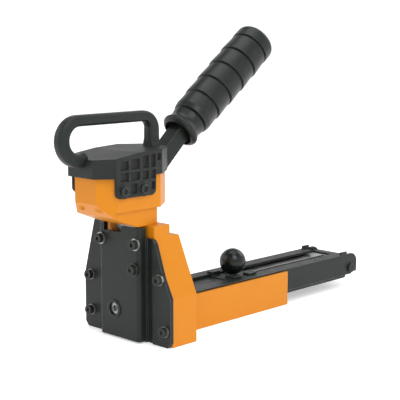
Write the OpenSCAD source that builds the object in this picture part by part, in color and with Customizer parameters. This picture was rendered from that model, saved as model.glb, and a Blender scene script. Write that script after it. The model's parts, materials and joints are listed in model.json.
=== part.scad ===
/* [Body] */
// half width of the nose across the wings
half_w = 46; // [45:1:48]
// depth of the orange lower body
body_d = 24; // [24:1:25]
/* [Handle] */
// width of the top handle band
band_w = 9.5; // [7:0.5:10]
// radius of the ball knob
knob_r = 10.6; // [9:0.1:10.6]
/* [Hidden] */
$fn = 48;
orange = [0.92, 0.5, 0.08];
dark = [0.12, 0.13, 0.12];
steel = [0.7, 0.7, 0.72];
fy = -29.3;
fz = 113;
py = 1.93;
pz = 123.86;
hub_x = 25;
hub_z = 31;
oy = 91.85;
module box(x0, x1, y0, y1, z0, z1) translate([x0, y0, z0]) cube([x1 - x0, y1 - y0, z1 - z0]);
module yz(x0, x1) translate([x0, 0, 0]) rotate([90, 0, 90]) linear_extrude(x1 - x0) children();
module xz(y0, y1) translate([0, y1, 0]) rotate([90, 0, 0]) linear_extrude(y1 - y0) children();
module cx(y, z, x0, x1, r) translate([x0, y, z]) rotate([0, 90, 0]) cylinder(h = x1 - x0, r = r);
module cy(x, z, y0, y1, r) translate([x, y1, z]) rotate([90, 0, 0]) cylinder(h = y1 - y0, r = r);
module both() { children(); mirror([1, 0, 0]) children(); }
// straight link with round ends
module link(a, b, r) {
  l = norm(b - a);
  translate(a) rotate(atan2(b[1] - a[1], b[0] - a[0])) translate([0, -r]) square([l, 2 * r]);
  translate(a) circle(r);
  translate(b) circle(r);
}
module plan(xf, yf, xs, y1, y2, xr, yr)
  polygon([[-xf, yf], [xf, yf], [xs, y1], [xs, y2], [xr, yr], [-xr, yr], [-xs, y2], [-xs, y1]]);
// head casting: hollow shell with an open top and a rear slot for the lever
module head_casting() color(orange) {
  difference() {
    intersection() {
      translate([0, 0, 84.5]) linear_extrude(47.5) plan(11.3, -39.6, 22, -29, 11, 9, 28);
      union() {
        yz(-22, 22) polygon([[-40, 103], [-36, 98.4], [-34.6, 97], [28, 97], [28, 132], [-40, 132]]);
        yz(-20, 20) polygon([[-36, 98.4], [-30.5, 92.8], [-20, 88.4], [-9, 84.5], [9.5, 84.5],
          [9.5, 98], [-35, 98]]);
      }
    }
    intersection() {
      translate([0, 0, 80]) linear_extrude(60) plan(10.2, -37.1, 19.5, -28, 9.6, 7.6, 25.5);
      yz(-18, 18) polygon([[-37.5, 105], [-34.3, 101.2], [-29.2, 95.8], [-19.3, 91.4], [-8, 87.5],
        [7, 87.5], [7, 99.5], [25.5, 99.5], [25.5, 140], [-37.5, 140]]);
    }
    box(-10.9, 10.9, -4.2, 6.5, 80, 90);
    box(-10.9, 10.9, 6, 12.8, 91.5, 101);
    box(-7.2, 7.2, 0, 30, 80, 140);
    cx(fy, fz, -13, 13, 4);
    both() cx(-25.2, 112, 17, 30, 1.6);
    both() cx(-6.8, 112, 17, 30, 1.6);
    both() translate([14.2, 2, 80]) cylinder(h = 10, r = 1.8);
  }
  both() difference() {
    box(7, 14, -37.1, -23, 97, 119);
    cx(fy, fz, 0, 20, 4);
    translate([0, 0, 80]) linear_extrude(60) difference() {
      translate([0, -60]) square([30, 60]);
      plan(10.2, -37.1, 19.5, -28, 9.6, 7.6, 25.5);
    }
  }
}
// lower body: block with tapered flanks, flange, mechanism pockets and magazine window
module lower_body() color(orange) difference() {
  union() {
    xz(0, body_d) polygon([[-45, 0], [45, 0], [45, 35.5], [27, 76], [-27, 76], [-45, 35.5]]);
    box(-27, 27, 0, 15, 76, 84.5);
  }
  box(-22.4, 22.4, -1, 30, 8.5, 31);
  box(-22.4, 22.4, -1, 7, -1, 31);
  box(-26, 26, -1, 3.5, 12, 68);
  box(-10.9, 10.9, -4.2, 6.5, 38, 90);
  box(-7.2, 7.2, 0, 16, 75.9, 90);
  both() xz(-1, 6.9) polygon([[14, -1], [40, -1], [38.6, 3], [30, 26], [31.5, 31], [31.5, 46],
    [14, 46]]);
  both() cy(hub_x, hub_z, -1, 12, 3);
  both() cy(18.4, 72, -9, 7, 1.8);
  cy(-38.7, 40.7, -1, 10, 2);
  cy(-38.4, 13.7, -1, 10, 1.5);
  cy(35.6, 48.1, -1, 10, 2);
  cy(40.9, 11.8, -1, 10, 1.5);
}
module cap2d() polygon([[-43.8, 121], [28, 121], [28, 138.5], [11, 138.5], [-10, 137.5],
  [-31, 134.8], [-43.8, 134]]);
module cells() {
  for (c = [[-28.2, 7.5, 132.6], [-18.7, 8.3, 133.6], [-7.9, 5.9, 135.2], [0, 4.4, 135.7]])
    box(22.8, 30, c[0], c[0] + c[1], 126.4, c[2]);
  for (c = [[-28.2, 7.5], [-18.7, 8.3], [-7.9, 5.9], [0, 4.4]])
    box(22.8, 30, c[0], c[0] + c[1], 118.6, 124.6);
  box(22.8, 30, 6.1, 9.6, 131, 135.8);
  box(22.8, 30, -18.2, -13, 109.5, 116.4);
  box(22.8, 30, 0.5, 3.6, 111, 116.4);
}
// moulded cap with its two lattice side panels
module handle_cap() color(dark) difference() {
  union() {
    intersection() {
      translate([0, 0, 121]) linear_extrude(20) plan(13.3, -43.8, 24, -31.7, 11, 10, 30);
      yz(-24, 24) cap2d();
    }
    both() yz(22, 24) {
      polygon([[-32, 111], [-28, 111], [-28, 107], [1, 107], [1, 111], [5, 111], [5.2, 120.3],
        [10.4, 124], [-30, 124], [-32, 123.9]]);
      translate([-28, 111]) circle(4);
      translate([1, 111]) circle(4);
    }
    both() cx(-25.2, 112, 23, 24.6, 5.2);
    both() cx(-6.8, 112, 23, 24.6, 5.2);
  }
  translate([0, 0, 120]) linear_extrude(12) plan(11.3, -39.6, 22, -29, 11, 9, 28);
  translate([0, 0, 131]) linear_extrude(3.2) plan(10.2, -37.1, 19.5, -28, 9.6, 7.6, 25.5);
  box(-7.2, 7.2, 10, 31, 120, 135.5);
  both() cells();
  both() cx(-25.2, 112, 20, 30, 1.6);
  both() cx(-6.8, 112, 20, 30, 1.6);
}
// D shaped carrying handle
module top_handle() color(dark) yz(-band_w / 2, band_w / 2) difference() {
  union() {
    translate([-46, 146]) circle(18.3);
    translate([15.5, 151.3]) circle(13);
    translate([-46, 130]) square([61.5, 34.3]);
    translate([15, 130]) square([13.5, 21.3]);
  }
  translate([-45, 147.2]) circle(9);
  translate([12, 150.3]) circle(6);
  translate([-45, 130]) square([57, 26.2]);
  translate([11, 130]) square([7, 20.3]);
  translate([-43.8, 100]) square([90, 34]);
  cap2d();
}
module cap_screws() color(steel) both() for (y = [-25.2, -6.8]) difference() {
  union() {
    cx(y, 112, 24.6, 26, 3.4);
    cx(y, 112, 20, 24.7, 1.6);
  }
  cx(y, 112, 25, 27, 2.4);
}
module fulcrum_pin() color(steel) cx(fy, fz, -13, 13, 4);
// bent lever bar
module lever_arm() color(dark) difference() {
  union() {
    cx(fy, fz, -6, 6, 7);
    cx(py, pz, -6, 6, 7);
    for (l = [[[fy, fz], [py, pz], 5.5], [[py, pz], [22, 121], 6], [[22, 119], [49, 144.3], 5.9],
      [[47, 142.5], [122, 200.6], 5.8]])
      yz(-6, 6) translate(l[0]) rotate(atan2(l[1][1] - l[0][1], l[1][0] - l[0][0]))
        translate([0, -l[2]]) square([norm(l[1] - l[0]), 2 * l[2]]);
  }
  cx(fy, fz, -20, 20, 4.06);
  cx(py, pz, -20, 20, 4);
}
// moulded grip with ring grooves
module lever_grip() color(dark) translate([0, 50.2, 145.4]) rotate([-52.2, 0, 0]) difference() {
  rotate_extrude() polygon([[0, 0], [12.6, 0], [14.2, 0.9], [15, 3], [14.8, 5], [13.4, 8], [13, 10],
    [13.6, 12.5], [13.7, 14.6], [12.9, 15.4], [14.4, 16.4], [15.2, 20], [15.2, 31], [13.9, 32],
    [15.2, 33], [15.8, 38], [15.8, 47.8], [14.3, 48.6], [15.6, 49.6], [16.1, 54], [16.1, 64.4],
    [14.6, 65.2], [15.8, 66.2], [16.2, 71], [16.2, 81], [14.6, 81.8], [15.8, 82.8], [16.2, 88],
    [16.2, 97.4], [14.6, 98.4], [15.9, 99.4], [16, 105], [14.4, 109.2], [11.5, 111], [0, 111.6]]);
  translate([0, 0, -1]) cylinder(h = 8, r = 10.5);
  translate([0, 0, 5]) cylinder(h = 99, r = 8.55);
}
module drive_pin() color(steel) cx(py, pz, -10, 10, 4);
// sliding carriage: slotted cheeks, ears, stem and cam plate
module crosshead() color(steel) difference() {
  union() {
    both() box(6.8, 10.2, -6.2, 12.1, 116, 131.6);
    both() box(6.8, 10.2, -2, 4, 100, 118);
    both() box(10, 17, -2, 6, 128.9, 131.6);
    box(-10.2, 10.2, -2, 4, 66, 106);
    xz(0.6, 3) polygon([[-24.8, 62.3], [-24.8, 64], [24.8, 64], [24.8, 62.3], [18.6, 40.3],
      [18.6, 38], [16.5, 38], [16.5, 52], [-16.5, 52], [-16.5, 38], [-18.6, 38], [-18.6, 40.3]]);
    box(-11.5, 11.5, -1, 0.7, 52, 62);
  }
  translate([0, 0, 0]) yz(-11, 11) {
    translate([1.6, pz]) circle(4.4);
    translate([4.3, pz]) circle(4.4);
    translate([1.6, pz - 4.4]) square([2.7, 8.8]);
  }
  for (x = [-7, 7]) cy(x, 58, -2, 5, 1.5);
}
module driver_blade() color(steel) difference() {
  union() {
    box(-17, 17, -2.6, -1, 27, 45);
    box(-11.5, 11.5, -2.6, -1, 44, 62);
  }
  for (x = [-7, 7]) cy(x, 58, -4, 5, 1.5);
  for (x = [-7, 7]) cy(x, 58, -4, -1.8, 2.8);
}
module blade_screws() color(steel) for (x = [-7, 7]) {
  cy(x, 58, -2.6, -1.8, 2.8);
  cy(x, 58, -1.9, 3, 1.5);
}
// coil spring drawn as wire rings on a thin sleeve
module coil(n, pitch, r, w) rotate_extrude() {
  for (k = [0 : n - 1]) translate([r, w + k * pitch]) circle(w);
  translate([r - 0.2, 0]) square([0.4, 2 * w + (n - 1) * pitch]);
}
module return_springs() color(steel) both() translate([14.2, 2, 87.5]) coil(13, 3.35, 2.8, 0.6);
module spring_posts() color(steel) both() translate([14.2, 2, 84.5]) cylinder(h = 15, r = 1.8);
module wing2d() polygon([[17.4, 0], [half_w - 3, 0], [half_w, 3.5], [half_w, 35.7], [38.6, 50.3],
  [30.8, 73.1], [28.6, 75.7], [24, 75.7], [13, 75.7], [13, 46.5], [17.4, 46.5]]);
module wing_cut(s) cy(s * 18.4, 72, -4, 1, 1.8);
module wing_left() color(dark) difference() {
  union() {
    mirror([1, 0, 0]) xz(-3, 0) wing2d();
    xz(-3, 0) polygon([[-27.1, 40], [-27.1, 84], [-34, 84], [-35.4, 80], [-46, 41.8], [-45, 35]]);
  }
  box(-27.8, -21.4, -3.1, -1.4, -1, 75.8);
  wing_cut(-1);
  cy(-38.7, 40.7, -4, 1, 2);
  cy(-38.4, 13.7, -4, 1, 1.5);
}
module wing_right() color(dark) difference() {
  xz(-3, 0) wing2d();
  box(21.4, 27.8, -3.1, -1.4, -1, 75.8);
  wing_cut(1);
  cy(35.6, 48.1, -4, 1, 2);
  cy(40.9, 11.8, -4, 1, 1.5);
  cy(18.4, 54.3, -4, 1, 1.5);
}
module centre_cover() color(dark) difference() {
  union() {
    box(-18.3, 18.3, -10, -8, 1, 77);
    box(-18.3, -16, -10, -8, 75, 83.5);
    box(3, 18.3, -10, -8, 75, 83.5);
    box(-17, 4, -10, -8, 75, 78.5);
    both() box(19.3, 21.3, -7, -3, 1, 83.5);
    both() translate([18.3, -7, 1]) intersection() {
      difference() {
        cylinder(h = 82.5, r = 3);
        translate([0, 0, -1]) cylinder(h = 90, r = 1);
      }
      translate([0, -4, 0]) cube([4, 4, 82.5]);
    }
  }
  both() cy(18.4, 72, -12, -2, 1.8);
  cy(18.4, 54.3, -12, -2, 1.5);
  cy(-5.5, 21.4, -12, -2, 5.3);
}
module throat_plate() color(steel) difference() {
  box(-19.2, 19.2, -5, -3, 1, 45);
  cy(-5.5, 21.4, -6, -2, 2);
}
module adjuster_bush() color(dark) difference() {
  union() {
    cy(-5.5, 21.4, -10, -8, 5.3);
    cy(-5.5, 21.4, -10.8, -10, 6.7);
  }
  cy(-5.5, 21.4, -12, -7, 4.8);
}
module hexcut(x, z, y0, y1, r) translate([x, y1, z]) rotate([90, 0, 0]) cylinder(h = y1 - y0, r = r, $fn = 6);
module adjuster_screw() color(steel) difference() {
  union() {
    cy(-5.5, 21.4, -9, -5, 4.4);
    cy(-5.5, 21.4, -5.1, -3, 2);
  }
  hexcut(-5.5, 21.4, -10, -6.5, 2.6);
}
module bolt(x, z, y0, y1, r) difference() {
  union() {
    cy(x, z, y0 - 3.2, y0, 3.5);
    cy(x, z, y0 - 0.1, y1, r);
  }
  hexcut(x, z, y0 - 5, y0 - 1.8, 1.8);
}
module washer(x, z, y0, y1, r) difference() {
  cy(x, z, y0, y1, 4.4);
  cy(x, z, y0 - 1, y1 + 1, r);
}
module cover_bolts() color(steel) {
  both() bolt(18.4, 72, -11.2, 6, 1.8);
  bolt(18.4, 54.3, -12.8, 0, 1.5);
}
module cover_washers() color(steel) both() washer(18.4, 72, -11.2, -10, 1.8);
module cover_standoff() color(steel) washer(18.4, 54.3, -12.8, -10, 1.5);
WB = [[-38.7, 40.7, 2], [-38.4, 13.7, 1.5], [35.6, 48.1, 2], [40.9, 11.8, 1.5]];
module wing_bolts() color(dark) for (b = WB) bolt(b[0], b[1], -4.2, 9, b[2]);
module wing_washers() color(steel) for (b = WB) difference() {
  cy(b[0], b[1], -4.2, -3, 3.9);
  cy(b[0], b[1], -5, -2, b[2]);
}
// clinching claw with hub and up arm
module anvil() difference() {
  union() {
    cy(hub_x, hub_z, 3.6, 6.4, 5.4);
    xz(3.6, 6.4) polygon([[28.5, 29], [38.8, 1.2], [36.6, 0.6], [23.5, 28]]);
    xz(3.6, 6.4) link([hub_x, hub_z], [21.25, 40.3], 2.6);
  }
  cy(hub_x, hub_z, 0, 12, 3.06);
  cy(21.25, 40.3, 0, 12, 1.2);
}
module anvil_right() color(steel) anvil();
module anvil_left() color(steel) mirror([1, 0, 0]) anvil();
module roller() {
  cy(21.25, 40.3, 0.8, 3.5, 2.2);
  cy(21.25, 40.3, 3.4, 6.4, 1.2);
}
module roller_right() color(steel) roller();
module roller_left() color(steel) mirror([1, 0, 0]) roller();
module anvil_pins() color(steel) both() cy(hub_x, hub_z, 3.3, 12, 3);
// feed rail with top flange and rounded rear ear
module rail() difference() {
  union() {
    yz(20, 22) {
      translate([7, 10.5]) square([234, 18.1]);
      translate([226, 28]) square([8, 3]);
      translate([241, 12]) square([7, 9.6]);
      translate([240.4, 21]) circle(7.6);
    }
    box(11, 20.1, 7, 226, 26.6, 28.6);
  }
  cx(239.5, 16, 10, 30, 2);
}
module rail_right() color(dark) rail();
module rail_left() color(dark) mirror([1, 0, 0]) rail();
module staple_core() color(steel) difference() {
  box(-15.5, 15.5, -0.8, 234, 10.5, 25);
  box(-13.5, 13.5, 1, 232, 12, 23.4);
  box(-2.5, 2.5, 20, 231, 22, 26);
}
module magazine_base() color(dark) difference() {
  box(-22, 22, 7, 232, 8.5, 10.5);
  for (y = [60, 120]) translate([0, y, 0]) cylinder(h = 20, r = 2);
}
module magazine_cover() color(orange) difference() {
  box(-24.3, 24.3, 24, 151, 0, 27.3);
  box(-22.2, 22.2, 23, 152, 2, 28);
  for (y = [60, 120]) translate([0, y, -1]) cylinder(h = 20, r = 2);
}
module magazine_spacers() color(steel) for (y = [60, 120]) {
  translate([0, y, 2]) cylinder(h = 6.5, r = 5);
  translate([0, y, 1]) cylinder(h = 9.5, r = 2);
}
module rail_pin() color(steel) {
  cx(239.5, 16, -22, 22, 2);
  both() cx(239.5, 16, 22, 23.6, 4);
}
module rear_stop() color(dark) difference() {
  box(-20, 20, 235.4, 244, 11, 26);
  cx(239.5, 16, -30, 30, 2);
}
module pusher_saddle() color(dark) difference() {
  box(-17.4, 17.4, 8, 128, 12.5, 26.3);
  box(-15.8, 15.8, 7, 129, 11, 25.3);
}
module saddle_ears() color(dark) {
  box(-10.2, 10.2, 96, 125, 26.3, 27.2);
  both() for (y = [97, 114]) {
    box(8.7, 10.2, y, y + 9, 27.1, 30);
    box(8.7, 15, y, y + 9, 28.9, 30.2);
  }
}
module knob_stud() color(steel) translate([0, 111, 27.2]) cylinder(h = 4, r = 3);
module ball_knob() color(dark) difference() {
  translate([0, 111, 38.4]) sphere(r = knob_r);
  translate([0, 111, 20]) cylinder(h = 11.2, r = 3);
}
module feed_spring() color(steel) translate([0, 3, 17.5]) rotate([-90, 0, 0]) coil(34, 3, 3.6, 0.6);
translate([0, -oy, 0]) head_casting();
translate([0, -oy, 0]) lower_body();
translate([0, -oy, 0]) handle_cap();
translate([0, -oy, 0]) top_handle();
translate([0, -oy, 0]) cap_screws();
translate([0, -oy, 0]) fulcrum_pin();
translate([0, -oy, 0]) lever_arm();
translate([0, -oy, 0]) lever_grip();
translate([0, -oy, 0]) drive_pin();
translate([0, -oy, 0]) crosshead();
translate([0, -oy, 0]) driver_blade();
translate([0, -oy, 0]) blade_screws();
translate([0, -oy, 0]) return_springs();
translate([0, -oy, 0]) spring_posts();
translate([0, -oy, 0]) wing_left();
translate([0, -oy, 0]) wing_right();
translate([0, -oy, 0]) centre_cover();
translate([0, -oy, 0]) throat_plate();
translate([0, -oy, 0]) adjuster_bush();
translate([0, -oy, 0]) adjuster_screw();
translate([0, -oy, 0]) cover_bolts();
translate([0, -oy, 0]) cover_washers();
translate([0, -oy, 0]) cover_standoff();
translate([0, -oy, 0]) wing_bolts();
translate([0, -oy, 0]) wing_washers();
translate([0, -oy, 0]) anvil_left();
translate([0, -oy, 0]) anvil_right();
translate([0, -oy, 0]) roller_left();
translate([0, -oy, 0]) roller_right();
translate([0, -oy, 0]) anvil_pins();
translate([0, -oy, 0]) rail_left();
translate([0, -oy, 0]) rail_right();
translate([0, -oy, 0]) staple_core();
translate([0, -oy, 0]) magazine_base();
translate([0, -oy, 0]) magazine_cover();
translate([0, -oy, 0]) magazine_spacers();
translate([0, -oy, 0]) rail_pin();
translate([0, -oy, 0]) rear_stop();
translate([0, -oy, 0]) pusher_saddle();
translate([0, -oy, 0]) saddle_ears();
translate([0, -oy, 0]) knob_stud();
translate([0, -oy, 0]) ball_knob();
translate([0, -oy, 0]) feed_spring();
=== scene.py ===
import json
import math

import bmesh
import bpy
import numpy as np
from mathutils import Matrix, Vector


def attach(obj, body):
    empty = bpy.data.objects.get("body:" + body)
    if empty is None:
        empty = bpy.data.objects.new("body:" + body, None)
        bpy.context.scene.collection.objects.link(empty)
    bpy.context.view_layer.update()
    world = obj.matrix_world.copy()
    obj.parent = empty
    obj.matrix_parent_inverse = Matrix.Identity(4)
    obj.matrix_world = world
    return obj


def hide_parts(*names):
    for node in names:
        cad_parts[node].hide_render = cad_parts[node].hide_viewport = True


bl_info = {
    "name": "Carton Stapler",
    "version": (1, 0, 0),
    "blender": (4, 5, 0),
    "location": "View3D > Sidebar > Stapler",
    "description": "Builds the visual pieces, materials and studio of a hand lever carton stapler",
    "category": "Add Mesh",
}

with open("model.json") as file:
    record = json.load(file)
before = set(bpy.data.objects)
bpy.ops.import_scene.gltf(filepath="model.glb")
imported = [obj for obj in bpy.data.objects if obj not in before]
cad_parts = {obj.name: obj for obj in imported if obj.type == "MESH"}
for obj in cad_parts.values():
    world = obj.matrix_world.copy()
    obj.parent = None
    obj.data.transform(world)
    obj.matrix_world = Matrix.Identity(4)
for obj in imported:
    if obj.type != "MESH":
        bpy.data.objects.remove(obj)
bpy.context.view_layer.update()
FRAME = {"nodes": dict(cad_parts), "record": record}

MM = 0.001            # the profiles below are in millimetres
OY = 91.85            # y of the frame's origin in the profiles' own coordinates
TINY = 0.02           # radius of the small ring that closes a pole
GRIP_MOUTH = (50.2, 145.4)   # y and z of the grip's open end
GRIP_PITCH = 16.6     # distance from groove to groove along the grip
CUPS_FROM, CUPS_TO = 15.4, 98.4   # where the cups between grooves start and end
GRIP_BORE = 8.5       # radius of the hole for the lever bar
CAP_FROM, CAP_LENGTH = 106.4, 4.95   # the rounded end of the grip
KNOB_FOOT = (111, 27.83)     # y and z of the knob's lowest point
BAND_POWER = 3.2      # superellipse exponent of the handle's section
BAND_SIDES = 56       # points round the handle's section
SHARP_ANGLE = math.radians(28)
BEVEL_SAMPLES = 6
LIGHT_AIM = (0, -0.02, 0.1)
CAMERA_AT = (0.56399, -0.5956, 0.22083)
CAMERA_AIM = (0.00751, -0.02587, 0.09394)
CAMERA_LENS = 95.8
LIGHTS = (            # name, place, size in metres, watts
    ("key", (0.9, -0.35, 1.0), 0.7, 7.0),
    ("fill", (-0.7, -0.9, 0.7), 0.8, 1.8),
    ("rim", (0.2, 1.1, 0.9), 0.8, 4.0),
    ("top", (0, 0.05, 1.3), 0.9, 6.5),
)


# ---------------------------------------------------------------- surfaces
def mesh_from_grid(name, grid):
    """Mesh from a grid of points of shape (rows, columns, 3): quads join each point to the next
    in its row and in the row after, and each row wraps round to its first point."""
    nu, nv = grid.shape[:2]
    a, b = np.meshgrid(np.arange(nu - 1), np.arange(nv), indexing="ij")
    a2, b2 = a + 1, (b + 1) % nv
    quads = np.stack([a * nv + b, a * nv + b2, a2 * nv + b2, a2 * nv + b], -1).reshape(-1, 4)
    return make_mesh(name, grid.reshape(-1, 3), quads)


def make_mesh(name, verts, faces):
    """Smooth shaded mesh object from points and faces, with its faces turned outwards."""
    me = bpy.data.meshes.new(name)
    me.from_pydata([tuple(v) for v in verts], [], [tuple(int(i) for i in f) for f in faces])
    me.validate()
    me.polygons.foreach_set("use_smooth", [True] * len(me.polygons))
    me.update()
    ob = bpy.data.objects.new(name, me)
    bpy.context.scene.collection.objects.link(ob)
    outward(me)
    return ob


def outward(me):
    """Joins doubled points, then turns every face so that its normal points out of the shell."""
    bm = bmesh.new()
    bm.from_mesh(me)
    bmesh.ops.remove_doubles(bm, verts=bm.verts, dist=1e-7)
    bmesh.ops.recalc_face_normals(bm, faces=bm.faces)
    bm.to_mesh(me)
    bm.free()


def revolve(name, profile, base, axis, segments=96):
    """Surface of revolution: each (s, r) of the profile is a ring of radius r at distance s along
    the axis, starting at base, and the ring's points lie at equal angles."""
    n = Vector(axis).normalized()
    u = n.orthogonal().normalized()
    w = n.cross(u)
    t = np.linspace(0, 2 * math.pi, segments, endpoint=False)
    ring = np.outer(np.cos(t), np.array(u)) + np.outer(np.sin(t), np.array(w))
    p = np.array(profile)
    along, out = p[:, 0, None, None], p[:, 1, None, None]
    grid = np.array(base)[None, None] + along * np.array(n) + out * ring[None]
    return mesh_from_grid(name, grid * MM)


def grip_radius(s, groove_depth):
    """Grip radius at distance s from the mouth: a piecewise straight body, plus a Gaussian rolled
    lip, plus cups one pitch apart that fall by a half cosine from start to end, less narrow
    grooves of the form exp(-d^4), with a quarter ellipse rounding off each end."""
    body = np.interp(s, [0, 9.5, 14, 20, 48, 70, 100, 111],
                     [12.9, 12.9, 13.5, 15.1, 15.8, 16.1, 16.1, 16.0])
    lip = 2.0 * np.exp(-((s - 3.2) / 3.1) ** 2)
    k = (s - CUPS_FROM) / GRIP_PITCH
    f = k - np.floor(k)
    inside = (s > 12.5) & (s < 101.5)
    cup = np.where((s > CUPS_FROM) & (s < CUPS_TO), 0.35 * np.cos(np.pi * f) - 0.1, -0.1)
    d = np.minimum(f, 1 - f) * GRIP_PITCH
    groove = np.where(inside, groove_depth * np.exp(-(d / 0.62) ** 4), 0)
    edge = np.sqrt(np.clip(1 - np.clip((s - CAP_FROM) / 5.0, 0, 1) ** 2, 0, 1))
    mouth = np.sqrt(np.clip(1 - np.clip((3.2 - s) / 3.2, 0, 1) ** 2, 0, 1))
    return (body + lip + cup - groove - 0.05) - 5.0 * (1 - edge) - 2.6 * (1 - mouth)


def build_grip(tilt, groove_depth):
    """Ringed grip: the inner wall of its bore, then the outer profile, turned about an axis that
    leans back by tilt from upright."""
    s = np.concatenate([np.linspace(0.05, CAP_FROM, 640),
                        CAP_FROM + CAP_LENGTH * np.sin(np.linspace(0.05, math.pi / 2, 24))])
    outer = list(zip(s, grip_radius(s, groove_depth))) + [(111.45, 6.0), (111.5, TINY)]
    inner = [(100.0, TINY), (99.9, GRIP_BORE), (8.2, GRIP_BORE), (7.8, 10.4), (2.0, 11.0), (0.5, 11.6)]
    y, z = GRIP_MOUTH
    return revolve("grip_skin", inner + outer, (0, y - OY, z), (0, math.sin(tilt), math.cos(tilt)), 120)


def handle_path():
    """Centre line of the D handle in the (y, z) plane: an arc in front, a straight top, a quarter
    circle and a straight rear leg, with the band's half sizes at each point. The band is thicker
    towards its two ends and wider at its rear foot and its front end."""
    a = np.radians(np.linspace(-70, -270, 90))
    front = np.stack([-45.6 + 13.7 * np.cos(a), 146.6 + 13.7 * np.sin(a)], 1)
    top = np.stack([np.linspace(-45, 13.2, 40), np.full(40, 160.3)], 1)
    b = np.radians(np.linspace(90, 0, 40))
    corner = np.stack([13.75 + 9.5 * np.cos(b), 150.8 + 9.5 * np.sin(b)], 1)
    leg = np.stack([np.full(24, 23.25), np.linspace(150.4, 136.6, 24)], 1)
    c = np.concatenate([front, top, corner, leg])
    step = np.r_[0, np.cumsum(np.hypot(*np.diff(c, axis=0).T))]
    t = step / step[-1]
    foot = np.clip((146.5 - c[:, 1]) / 9, 0, 1) ** 2 * (c[:, 0] > 15)
    nose = np.clip(t / 0.14, 0, 1)
    half = 3.95 + 1.2 * np.clip((t - 0.8) / 0.1, 0, 1) + 0.9 * np.clip((0.34 - t) / 0.14, 0, 1)
    wide = 4.45 + 2.6 * foot + 1.3 * (1 - nose) ** 2
    return c, half, wide


def build_handle():
    """D handle: a rounded square section (a superellipse) carried along the path, its in-plane
    axis turned to stay square to the path, with each end closed to its middle point."""
    c, half, wide = handle_path()
    d = np.gradient(c, axis=0)
    d /= np.linalg.norm(d, axis=1)[:, None]
    n = np.stack([-d[:, 1], d[:, 0]], 1)
    v = np.linspace(0, 2 * math.pi, BAND_SIDES, endpoint=False)
    cu = np.sign(np.cos(v)) * np.abs(np.cos(v)) ** (2 / BAND_POWER)
    cv = np.sign(np.sin(v)) * np.abs(np.sin(v)) ** (2 / BAND_POWER)
    x = wide[:, None] * cu[None]
    y = c[:, 0, None] + half[:, None] * cv[None] * n[:, 0, None] - OY
    z = c[:, 1, None] + half[:, None] * cv[None] * n[:, 1, None]
    grid = np.stack([x, y, z], -1)
    first, last = grid[:1].mean(1, keepdims=True), grid[-1:].mean(1, keepdims=True)
    grid = np.concatenate([np.repeat(first, BAND_SIDES, 1), grid, np.repeat(last, BAND_SIDES, 1)])
    return mesh_from_grid("handle_band", grid * MM)


def build_knob(radius):
    """Ball knob: a half circle turned about the upright axis, with a tiny ring at each pole."""
    t = np.linspace(0, math.pi, 64)
    profile = np.stack([radius * (1 - np.cos(t)), np.maximum(radius * np.sin(t), TINY)], 1)
    y, z = KNOB_FOOT
    return revolve("knob_ball", profile, (0, y - OY, z), (0, 0, 1), 96)


# ---------------------------------------------------------------- shader maths
class Sock:
    """A node socket that can be added, multiplied and compared like a number."""

    def __init__(self, tree, s):
        self.t, self.s = tree, s

    def math(self, op, *values):
        """Math node of the given operation on the values, each a Sock or a number."""
        n = self.t.nodes.new("ShaderNodeMath")
        n.operation = op
        for inp, v in zip(n.inputs, values):
            if isinstance(v, Sock):
                self.t.links.new(v.s, inp)
            else:
                inp.default_value = v
        return Sock(self.t, n.outputs[0])

    def __add__(self, o): return self.math("ADD", self, o)
    def __radd__(self, o): return self.math("ADD", o, self)
    def __sub__(self, o): return self.math("SUBTRACT", self, o)
    def __rsub__(self, o): return self.math("SUBTRACT", o, self)
    def __mul__(self, o): return self.math("MULTIPLY", self, o)
    def __rmul__(self, o): return self.math("MULTIPLY", o, self)
    def __gt__(self, o): return self.math("GREATER_THAN", self, o)
    def __lt__(self, o): return self.math("LESS_THAN", self, o)
    def __abs__(self): return self.math("ABSOLUTE", self)
    def at_least(self, o): return self.math("MAXIMUM", self, o)
    def at_most(self, o): return self.math("MINIMUM", self, o)
    def clamp(self): return self.at_most(1.0).at_least(0.0)


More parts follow.
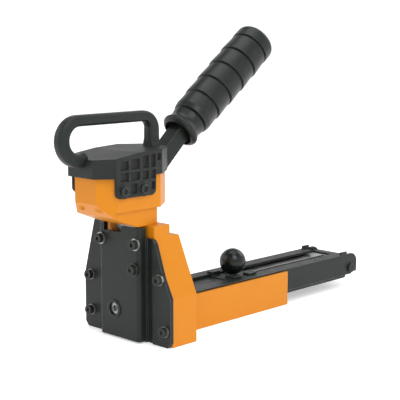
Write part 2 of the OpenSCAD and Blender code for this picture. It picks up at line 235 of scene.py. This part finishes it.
class Shade:
    """A material under construction: node() makes any node and returns its output as a Sock."""

    def __init__(self, name):
        self.m = bpy.data.materials.new(name)
        self.m.use_nodes = True
        self.t = self.m.node_tree
        self.b = self.t.nodes["Principled BSDF"]
        self.co = self.node("TexCoord", out="Object")

    def node(self, kind, out=0, props=None, **ins):
        n = self.t.nodes.new("ShaderNode" + kind)
        for k, v in (props or {}).items():
            setattr(n, k, v)
        for k, v in ins.items():
            self.put(n.inputs[k.replace("_", " ")], v)
        return Sock(self.t, n.outputs[out])

    def put(self, inp, v):
        """Links a Sock to the input, or sets the input's own value."""
        if isinstance(v, Sock):
            self.t.links.new(v.s, inp)
        else:
            inp.default_value = v

    def noise(self, scale, detail=4.0, rough=0.55):
        return self.node("TexNoise", out="Fac", Vector=self.co, Scale=scale, Detail=detail,
                         Roughness=rough)

    def mix(self, f, a, b):
        """Colour a where f is 0 and b where f is 1."""
        n = self.t.nodes.new("ShaderNodeMix")
        n.data_type = "RGBA"
        self.put(n.inputs[0], f)
        self.put(n.inputs[6], a)
        self.put(n.inputs[7], b)
        return Sock(self.t, n.outputs[2])

    def edge(self, radius):
        """How far the bevelled normal leans from the true one: 4 (1 - their dot product), held
        between 0 and 1, so it is near 1 on sharp edges."""
        bev = self.node("Bevel", props={"samples": BEVEL_SAMPLES}, Radius=radius)
        geo = self.node("NewGeometry", out="True Normal")
        dot = self.node("VectorMath", out="Value", props={"operation": "DOT_PRODUCT"})
        n = dot.s.node
        self.t.links.new(bev.s, n.inputs[0])
        self.t.links.new(geo.s, n.inputs[1])
        return ((1.0 - dot) * 4.0).clamp()

    def round_edges(self, radius, height, strength, dist):
        """Softens edges of the radius in the shading, with the height's fine relief on top."""
        bev = self.node("Bevel", props={"samples": BEVEL_SAMPLES}, Radius=radius)
        relief = self.node("Bump", Height=height, Strength=strength, Distance=dist, Normal=bev)
        self.set(Normal=relief)

    def set(self, **kw):
        """Gives the surface shader's sockets their values or links."""
        for k, v in kw.items():
            self.put(self.b.inputs[k.replace("_", " ")], v)


def rgb(colour, k=1.0):
    """Opaque colour, with each channel times k."""
    return tuple(c * k for c in colour) + (1.0,)


def mat_orange(name, dark, light, relief=1.0):
    """Gloss orange paint: two close tones in blotches, paler specks, and lighter edges that are partly
    wear and partly a painted highlight.
    """
    s = Shade(name)
    blotch, fine = s.noise(38.0), s.noise(900.0, 3.0)
    # wear and painted highlight: edges are lightened where the noise allows, so they read both as worn
    # and as catching light
    wear_and_edge_highlight = (s.edge(0.0007) * (s.noise(160.0, 6.0) * 1.5)).clamp()
    dust = (s.noise(420.0, 5.0) - 0.62).at_least(0.0) * 2.0
    base = s.mix(blotch, rgb(dark), rgb(light))
    base = s.mix(dust.clamp(), base, rgb((0.68, 0.28, 0.02)))
    s.set(Base_Color=s.mix(wear_and_edge_highlight * 0.45, base, rgb((0.78, 0.36, 0.06))),
          Roughness=blotch * 0.12 + 0.36, Specular_IOR_Level=0.25)
    s.round_edges(0.0009, fine + s.noise(220.0) * 0.6, 0.35 * relief, 0.00012)
    return s.m


def mat_black(name, tone):
    """Black coated steel with grey edges that are partly wear and partly a painted highlight."""
    s = Shade(name)
    blotch, fine = s.noise(55.0), s.noise(1300.0, 2.0)
    # wear and painted highlight: edges are lightened towards grey where the noise allows
    wear_and_edge_highlight = (s.edge(0.0006) * (s.noise(190.0, 6.0) * 1.6)).clamp()
    base = s.mix(blotch, rgb((0.006, 0.0092, 0.0075), tone), rgb((0.011, 0.0155, 0.013), tone))
    s.set(Base_Color=s.mix(wear_and_edge_highlight * 0.7, base, rgb((0.2, 0.21, 0.19))),
          Roughness=blotch * 0.16 + 0.4, Metallic=0.1, Specular_IOR_Level=0.3)
    s.round_edges(0.0006, fine, 0.3, 0.00008)
    return s.m


def mat_plastic(name, tone, rough, radius, painted_cell_shade=False):
    """Moulded black plastic with fine grain and scuffs; the last flag paints shade, as a near-black
    colour, on the floor of the cap's lattice cells, which lies in a thin slice at one distance from the
    middle plane."""
    s = Shade(name)
    blotch, grain = s.noise(45.0), s.noise(2100.0, 2.0)
    base = s.mix(blotch, rgb((0.0048, 0.0078, 0.0062), tone), rgb((0.009, 0.0132, 0.011), tone))
    if painted_cell_shade:
        # painted shade: a thin slice at the depth of the lattice cells' floor is made near black,
        # standing in for shade in the recesses
        x = abs(s.node("SeparateXYZ", out="X", Vector=s.co))
        base = s.mix((x > 0.0226) * (x < 0.02305), base, rgb((0.003, 0.0035, 0.003)))
    scuff = (s.noise(300.0, 6.0) - 0.6).at_least(0.0) * 1.2
    s.set(Base_Color=s.mix(scuff.clamp(), base, rgb((0.08, 0.085, 0.08))),
          Roughness=blotch * 0.14 + rough, Specular_IOR_Level=0.32)
    s.round_edges(radius, grain + s.noise(500.0) * 0.5, 0.3, 0.0001)
    return s.m


def mat_steel(name, tint, rough):
    """Bare steel, a little darker in blotches."""
    s = Shade(name)
    blotch, fine = s.noise(120.0), s.noise(1700.0, 2.0)
    s.set(Base_Color=s.mix(blotch, rgb(tint, 0.86), rgb(tint)), Metallic=1.0,
          Roughness=blotch * 0.2 + rough)
    s.round_edges(0.0003, fine, 0.25, 0.00005)
    return s.m


def mat_floor():
    """Pale matt floor that glows a little, so that its shadows stay soft."""
    s = Shade("pale_floor")
    n = s.noise(3.0)
    s.set(Base_Color=s.mix(n, rgb((0.9, 0.9, 0.9)), rgb((0.94, 0.94, 0.94))),
          Roughness=n * 0.1 + 0.6, Emission_Color=rgb((1.0, 1.0, 1.0)), Emission_Strength=0.4)
    return s.m


def facing(place, aim):
    """Rotation of a lamp or camera at place that looks at aim."""
    return (Vector(aim) - Vector(place)).to_track_quat("-Z", "Y").to_euler()


def paint(ob, mat):
    ob.data.materials.clear()
    ob.data.materials.append(mat)


# ---------------------------------------------------------------- add-on
class StaplerSettings(bpy.types.PropertyGroup):
    grip_tilt: bpy.props.FloatProperty(
        name="Grip tilt", description="How far the grip's axis leans back from upright",
        default=math.radians(52.2), subtype="ANGLE")
    groove_depth: bpy.props.FloatProperty(
        name="Groove depth", description="Depth of the grooves round the grip",
        default=1.7 * MM, min=0.0, max=4 * MM, precision=5, unit="LENGTH")
    knob_radius: bpy.props.FloatProperty(
        name="Knob radius", description="Radius of the ball knob on the pusher",
        default=10.58 * MM, min=5 * MM, max=15 * MM, precision=5, unit="LENGTH")
    paint_dark: bpy.props.FloatVectorProperty(
        name="Dark paint", description="Darker of the two tones of the orange paint",
        default=(0.54, 0.18, 0.0015), min=0.0, max=1.0, subtype="COLOR")
    paint_light: bpy.props.FloatVectorProperty(
        name="Light paint", description="Lighter of the two tones of the orange paint",
        default=(0.6, 0.205, 0.002), min=0.0, max=1.0, subtype="COLOR")
    coat_tone: bpy.props.FloatProperty(
        name="Black tone", description="Lightness of the black coats; twice as light at 2",
        default=1.0, min=0.5, max=2.0, subtype="FACTOR")
    light_power: bpy.props.FloatProperty(
        name="Light power", description="Strength of the studio lights; twice as strong at 2",
        default=1.0, min=0.2, max=4.0, subtype="FACTOR")


class STAPLER_OT_grip(bpy.types.Operator):
    """Build the ringed lever grip and the ball knob"""
    bl_idname = "stapler.grip"
    bl_label = "Build grip and knob"

    def execute(self, context):
        st = context.scene.stapler
        grip = build_grip(st.grip_tilt, st.groove_depth / MM)
        knob = build_knob(st.knob_radius / MM)
        paint(grip, mat_plastic("grip_plastic", 1.0, 0.3, 0.0003))
        paint(knob, mat_plastic("knob_plastic", 0.8, 0.16, 0.0003))
        for ob, body, node in ((grip, "lever", "lever_grip"), (knob, "pusher", "ball_knob")):
            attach(ob, body)
            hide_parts(node)
        return {"FINISHED"}


class STAPLER_OT_handle(bpy.types.Operator):
    """Build the D handle on top of the head"""
    bl_idname = "stapler.handle"
    bl_label = "Build top handle"

    def execute(self, context):
        ob = build_handle()
        paint(ob, mat_plastic("handle_plastic", 1.0, 0.36, 0.0005))
        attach(ob, "frame")
        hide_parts("top_handle")
        return {"FINISHED"}


class STAPLER_OT_coats(bpy.types.Operator):
    """Paint the cast, pressed and moulded parts of the frame"""
    bl_idname = "stapler.coats"
    bl_label = "Coat the castings and plates"

    def execute(self, context):
        st = context.scene.stapler
        tone, dark, light = st.coat_tone, tuple(st.paint_dark), tuple(st.paint_light)
        mats = {
            "orange_casting": mat_orange("orange_paint", dark, light),
            "orange_sheet": mat_orange("orange_sheet_paint", dark, light, 0.4),
            "black_plastic": mat_plastic("black_plastic", tone, 0.42, 0.0013, painted_cell_shade=True),
            "black_steel": mat_black("black_coat", tone),
            "bright_steel": mat_steel("bright_steel", (0.36, 0.36, 0.35), 0.26),
            "spring_steel": mat_steel("spring_wire", (0.5, 0.5, 0.5), 0.2),
        }
        for sub in FRAME["record"]["subparts"]:
            ob = FRAME["nodes"][sub["node"]]
            paint(ob, mats[sub["material_slot"]])
            ob.data.polygons.foreach_set("use_smooth", [True] * len(ob.data.polygons))
            ob.data.set_sharp_from_angle(angle=SHARP_ANGLE)
        return {"FINISHED"}


class STAPLER_OT_stage(bpy.types.Operator):
    """Set the floor, the studio lights and the camera"""
    bl_idname = "stapler.stage"
    bl_label = "Set floor, lights and camera"

    def execute(self, context):
        self.add_floor()
        self.add_lights(context.scene)
        self.add_camera(context.scene)
        context.scene.view_settings.view_transform = "Standard"
        return {"FINISHED"}

    def add_floor(self):
        """Round floor, flat out to 1.5 and then rising as 0.9 times the square of the rest."""
        r, t = np.meshgrid(np.r_[0.001, np.linspace(0.2, 3.2, 61)],
                           np.linspace(0, 2 * math.pi, 97)[:-1], indexing="ij")
        rise = 0.9 * np.clip(r - 1.5, 0, None) ** 2 - 0.0002
        floor = mesh_from_grid("floor", np.stack([r * np.cos(t), r * np.sin(t), rise], -1))
        if sum(p.normal.z for p in floor.data.polygons) < 0:
            floor.data.flip_normals()
        paint(floor, mat_floor())

    def add_lights(self, scene):
        """White surroundings and four square lights turned to the object."""
        scene.world = bpy.data.worlds.new("studio")
        scene.world.use_nodes = True
        bg = scene.world.node_tree.nodes["Background"]
        bg.inputs["Color"].default_value = (1, 1, 1, 1)
        bg.inputs["Strength"].default_value = 0.3
        for name, place, size, power in LIGHTS:
            lamp = bpy.data.lights.new(name, "AREA")
            lamp.energy, lamp.size = power * scene.stapler.light_power, size
            ob = bpy.data.objects.new(name, lamp)
            ob.location = place
            ob.rotation_euler = facing(place, LIGHT_AIM)
            scene.collection.objects.link(ob)

    def add_camera(self, scene):
        """Camera in front and to the right of the nose."""
        data = bpy.data.cameras.new("camera")
        data.sensor_width, data.lens = 36.0, CAMERA_LENS
        cam = bpy.data.objects.new("camera", data)
        cam.location = CAMERA_AT
        cam.rotation_euler = facing(CAMERA_AT, CAMERA_AIM)
        scene.collection.objects.link(cam)
        scene.camera = cam


class STAPLER_PT_panel(bpy.types.Panel):
    bl_label = "Carton Stapler"
    bl_idname = "STAPLER_PT_panel"
    bl_space_type = "VIEW_3D"
    bl_region_type = "UI"
    bl_category = "Stapler"

    def draw(self, context):
        st = context.scene.stapler
        for prop in ("grip_tilt", "groove_depth", "knob_radius", "paint_dark", "paint_light",
                     "coat_tone", "light_power"):
            self.layout.prop(st, prop)
        for op in ("coats", "grip", "handle", "stage"):
            self.layout.operator("stapler." + op)


CLASSES = (StaplerSettings, STAPLER_OT_grip, STAPLER_OT_handle, STAPLER_OT_coats, STAPLER_OT_stage,
           STAPLER_PT_panel)


def register():
    for c in CLASSES:
        bpy.utils.register_class(c)
    bpy.types.Scene.stapler = bpy.props.PointerProperty(type=StaplerSettings)


def unregister():
    del bpy.types.Scene.stapler
    for c in reversed(CLASSES):
        bpy.utils.unregister_class(c)


def main():
    """Builds everything in order."""
    register()
    bpy.ops.stapler.coats()
    bpy.ops.stapler.grip()
    bpy.ops.stapler.handle()
    bpy.ops.stapler.stage()
    bpy.context.view_layer.update()


if __name__ == "__main__":
    main()
